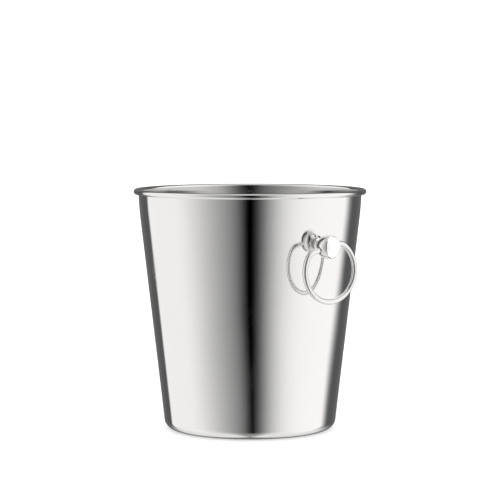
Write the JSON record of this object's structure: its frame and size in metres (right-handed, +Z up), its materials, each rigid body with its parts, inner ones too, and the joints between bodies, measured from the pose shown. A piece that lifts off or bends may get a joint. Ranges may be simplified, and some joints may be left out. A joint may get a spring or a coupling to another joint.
{
  "type": "champagne bucket",
  "caption": "Tapered round champagne bucket in polished steel with a rolled rim and a swinging ring handle hung through a ball knob on each side.",
  "frame": {"origin": "centre of the base, on the surface that the bucket stands on", "axes": "+Z up along the bucket's own axis; the handles are on +X (right) and -X (left); +Y is square to both"},
  "size_m": [0.2456, 0.21, 0.2173],
  "materials": {
    "polished_steel": "mirror-polished stainless steel with fine hairline scratches",
    "plain_steel": "plain bright stainless fasteners",
    "silicone": "matt translucent grey silicone"
  },
  "bodies": {
    "bucket": {"bucket_shell": "polished_steel", "knob_right": "polished_steel", "outer_seal_right": "silicone", "inner_seal_right": "silicone", "flat_washer_right": "plain_steel", "spring_washer_right": "plain_steel", "screw_right": "plain_steel", "knob_left": "polished_steel", "outer_seal_left": "silicone", "inner_seal_left": "silicone", "flat_washer_left": "plain_steel", "spring_washer_left": "plain_steel", "screw_left": "plain_steel"},
    "ring_right": {"ring_handle_right": "polished_steel"},
    "ring_left": {"ring_handle_left": "polished_steel"}
  },
  "joints": [
    {"name": "ring_swing_right", "type": "hinge", "parent": "bucket", "child": "ring_right", "pos_m": [0.11223, 0, 0.1709], "axis": [-0.028, -0.9703, -0.2403], "range_deg": [-23, 186]},
    {"name": "ring_swing_left", "type": "hinge", "parent": "bucket", "child": "ring_left", "pos_m": [-0.11223, 0, 0.1709], "axis": [0.028, 0.9703, -0.2403], "range_deg": [-23, 186]}
  ]
}
